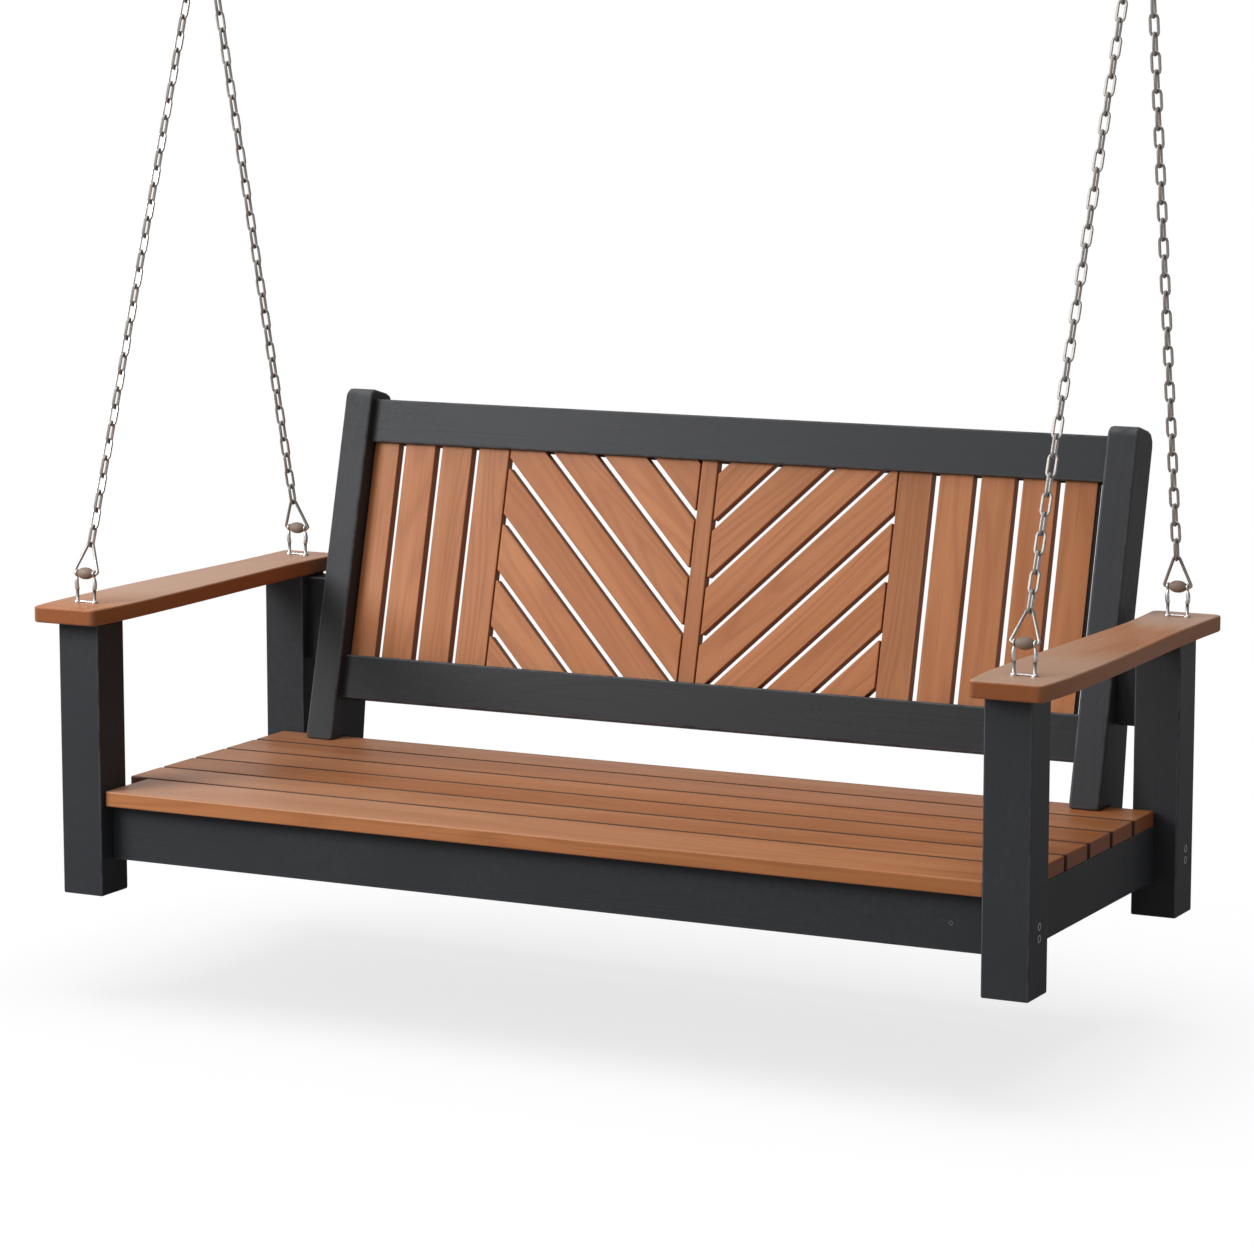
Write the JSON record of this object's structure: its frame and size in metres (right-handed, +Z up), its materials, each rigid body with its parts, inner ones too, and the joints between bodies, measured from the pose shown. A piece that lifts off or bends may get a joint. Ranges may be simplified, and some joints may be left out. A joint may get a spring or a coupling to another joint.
{
  "type": "porch swing",
  "caption": "Two-tone timber porch swing with a raked back of upright slats and chevron boards, hung on link chains from ceiling hangers.",
  "frame": {"origin": "on the ceiling, midway between the two ceiling hangers, in the plane of their plates' upper faces; the bench's centre of mass hangs plumb below it", "axes": "+X to the right of someone who faces the bench, +Y from its front to its back, +Z up"},
  "size_m": [1.546, 0.7295, 1.451],
  "materials": {
    "painted_frame": "satin dark charcoal paint",
    "stained_boards": "satin brown stain",
    "plain_steel": "plain, slightly worn",
    "spacer_plastic": "matt"
  },
  "bodies": {
    "ceiling": {"ceiling_hanger_left": "plain_steel", "ceiling_hanger_right": "plain_steel"},
    "swing": {"front_post_left": "painted_frame", "front_post_right": "painted_frame", "rear_post_left": "painted_frame", "rear_post_right": "painted_frame", "front_rail": "painted_frame", "rear_rail": "painted_frame", "side_rail_left": "painted_frame", "side_rail_right": "painted_frame", "seat_bearer": "painted_frame", "back_upright_left": "painted_frame", "back_upright_right": "painted_frame", "back_top_rail": "painted_frame", "back_bottom_rail": "painted_frame", "arm_left": "stained_boards", "arm_right": "stained_boards", "seat_slat_1": "stained_boards", "seat_slat_2": "stained_boards", "seat_slat_3": "stained_boards", "seat_slat_4": "stained_boards", "seat_slat_5": "stained_boards", "seat_slat_6": "stained_boards", "back_stile": "stained_boards", "back_slat_left_1": "stained_boards", "back_slat_left_2": "stained_boards", "back_slat_left_3": "stained_boards", "back_slat_left_4": "stained_boards", "back_slat_right_1": "stained_boards", "back_slat_right_2": "stained_boards", "back_slat_right_3": "stained_boards", "back_slat_right_4": "stained_boards", "back_slat_right_5": "stained_boards", "chevron_left_1": "stained_boards", "chevron_left_2": "stained_boards", "chevron_left_3": "stained_boards", "chevron_left_4": "stained_boards", "chevron_left_5": "stained_boards", "chevron_left_6": "stained_boards", "chevron_left_7": "stained_boards", "chevron_left_8": "stained_boards", "chevron_right_1": "stained_boards", "chevron_right_2": "stained_boards", "chevron_right_3": "stained_boards", "chevron_right_4": "stained_boards", "chevron_right_5": "stained_boards", "chevron_right_6": "stained_boards", "chevron_right_7": "stained_boards", "hanger_yoke_front_left": "plain_steel", "hanger_yoke_front_right": "plain_steel", "hanger_yoke_rear_left": "plain_steel", "hanger_yoke_rear_right": "plain_steel", "chain_front_left": "plain_steel", "chain_front_right": "plain_steel", "chain_rear_left": "plain_steel", "chain_rear_right": "plain_steel"},
    "roller_front_left": {"hanger_roller_front_left": "spacer_plastic"},
    "roller_front_right": {"hanger_roller_front_right": "spacer_plastic"},
    "roller_rear_left": {"hanger_roller_rear_left": "spacer_plastic"},
    "roller_rear_right": {"hanger_roller_rear_right": "spacer_plastic"}
  },
  "joints": [
    {"name": "swing_to_and_fro", "type": "hinge", "parent": "ceiling", "child": "swing", "pos_m": [0, 0, -0.031], "axis": [1, 0, 0], "range_deg": [-30, 30]},
    {"name": "roller_front_left_spin", "type": "hinge", "parent": "swing", "child": "roller_front_left", "pos_m": [-0.712, -0.354, -0.9937], "axis": [1, 0, 0], "continuous": true},
    {"name": "roller_front_right_spin", "type": "hinge", "parent": "swing", "child": "roller_front_right", "pos_m": [0.712, -0.354, -0.9937], "axis": [1, 0, 0], "continuous": true},
    {"name": "roller_rear_left_spin", "type": "hinge", "parent": "swing", "child": "roller_rear_left", "pos_m": [-0.712, 0.22, -0.9937], "axis": [1, 0, 0], "continuous": true},
    {"name": "roller_rear_right_spin", "type": "hinge", "parent": "swing", "child": "roller_rear_right", "pos_m": [0.712, 0.22, -0.9937], "axis": [1, 0, 0], "continuous": true}
  ]
}
